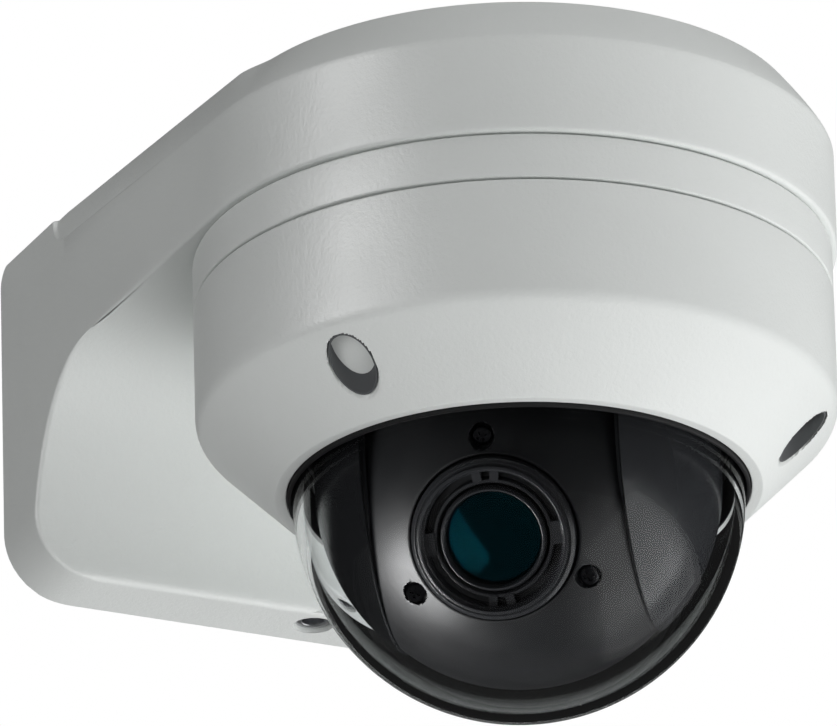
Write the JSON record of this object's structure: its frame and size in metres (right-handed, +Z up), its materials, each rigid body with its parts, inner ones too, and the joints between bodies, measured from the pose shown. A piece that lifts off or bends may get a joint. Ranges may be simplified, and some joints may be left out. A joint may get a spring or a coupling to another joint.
{
  "type": "ptz dome camera",
  "caption": "Pan-tilt-zoom mini dome camera hanging under its L-shaped wall bracket, with a clear lower dome over a black motorised eyeball.",
  "frame": {"origin": "middle of the wall plate's back face, on the wall", "axes": "+Y into the wall, +Z up, +X to the right when facing the wall; the camera hangs out along -Y"},
  "size_m": [0.126, 0.166, 0.1232],
  "materials": {
    "white_casting": "fine-textured off-white powder coat on die-cast aluminium",
    "steel": "zinc-plated or stainless steel",
    "rubber": "matte black silicone rubber",
    "clear_dome": "clear moulded polycarbonate, hard-coated",
    "black_plastic": "satin black moulded plastic with a fine grain",
    "gloss_black": "smooth black moulded plastic",
    "circuit_board": "green solder mask",
    "chip_black": "moulded epoxy package",
    "gear_plastic": "natural acetal",
    "aluminium": "as-cast and machined",
    "brass": "machined",
    "lens_glass": "coated optical glass"
  },
  "bodies": {
    "housing": {"wall_bracket": "white_casting", "wall_plate": "steel", "lock_screw": "steel", "base_casting": "white_casting", "mount_screw_1": "steel", "mount_screw_2": "steel", "mount_screw_3": "steel", "cable_grommet": "rubber", "cover_seal": "rubber", "dome_cover": "white_casting", "cover_screw_1": "steel", "cover_screw_2": "steel", "cover_screw_3": "steel", "dome_seal": "rubber", "dome_bubble": "clear_dome", "dome_clamp_ring": "black_plastic", "clamp_screw_1": "steel", "clamp_screw_2": "steel", "clamp_screw_3": "steel", "main_board": "circuit_board", "processor": "chip_black", "network_socket": "gear_plastic", "reset_switch": "chip_black", "chassis_plate": "steel", "chassis_screw_1": "steel", "chassis_screw_2": "steel", "chassis_screw_3": "steel", "pan_gear": "gear_plastic", "pan_bearing_outer": "steel"},
    "pan_head": {"yoke": "aluminium", "pan_bearing_inner": "steel", "bearing_clip": "steel", "right_cheek": "gloss_black", "left_cheek": "gloss_black", "right_bush": "brass", "left_bush": "brass", "tilt_motor": "steel", "pan_motor": "steel"},
    "camera_module": {"front_shell": "black_plastic", "rear_shell": "black_plastic", "lens_block": "black_plastic", "tilt_gear": "gear_plastic", "shell_screw_1": "steel", "shell_screw_2": "steel", "shell_screw_3": "steel", "lens_ring": "gloss_black", "lens_barrel": "gloss_black", "front_lens": "lens_glass", "sensor_board": "circuit_board", "image_sensor": "chip_black"},
    "pan_pinion": {"pan_pinion": "brass"},
    "tilt_pinion": {"tilt_pinion": "brass"},
    "zoom_group": {"zoom_group": "lens_glass"},
    "focus_group": {"focus_group": "lens_glass"},
    "reset_button": {"reset_button": "rubber"}
  },
  "joints": [
    {"name": "pan", "type": "hinge", "parent": "housing", "child": "pan_head", "pos_m": [0, -0.103, -0.009], "axis": [0, 0, 1], "range_deg": [-141.1, 213.9]},
    {"name": "tilt", "type": "hinge", "parent": "pan_head", "child": "camera_module", "pos_m": [0, -0.103, -0.0446], "axis": [0.8049, -0.5934, 0], "range_deg": [-35, 55]},
    {"name": "pan_pinion_spin", "type": "hinge", "parent": "pan_head", "child": "pan_pinion", "pos_m": [0.02368, -0.07089, -0.009], "axis": [0, 0, 1], "range_deg": [-690, 1046]},
    {"name": "tilt_pinion_spin", "type": "hinge", "parent": "pan_head", "child": "tilt_pinion", "pos_m": [0.01851, -0.11665, -0.02105], "axis": [0.8049, -0.5934, 0], "range_deg": [-183.5, 116.8]},
    {"name": "zoom", "type": "slide", "parent": "camera_module", "child": "zoom_group", "axis": [-0.4861, -0.6593, -0.5736], "range_m": [-0.004, 0.005]},
    {"name": "focus", "type": "slide", "parent": "camera_module", "child": "focus_group", "axis": [-0.4861, -0.6593, -0.5736], "range_m": [-0.004, 0.0014]},
    {"name": "reset_press", "type": "slide", "parent": "housing", "child": "reset_button", "axis": [0, 0, 1], "range_m": [0, 0.00025], "stiffness_N_per_m": 800}
  ],
  "couplings": [
    {"joint": "pan_pinion_spin", "follows": "pan", "ratio": 4.8889},
    {"joint": "tilt_pinion_spin", "follows": "tilt", "ratio": -3.3333}
  ]
}
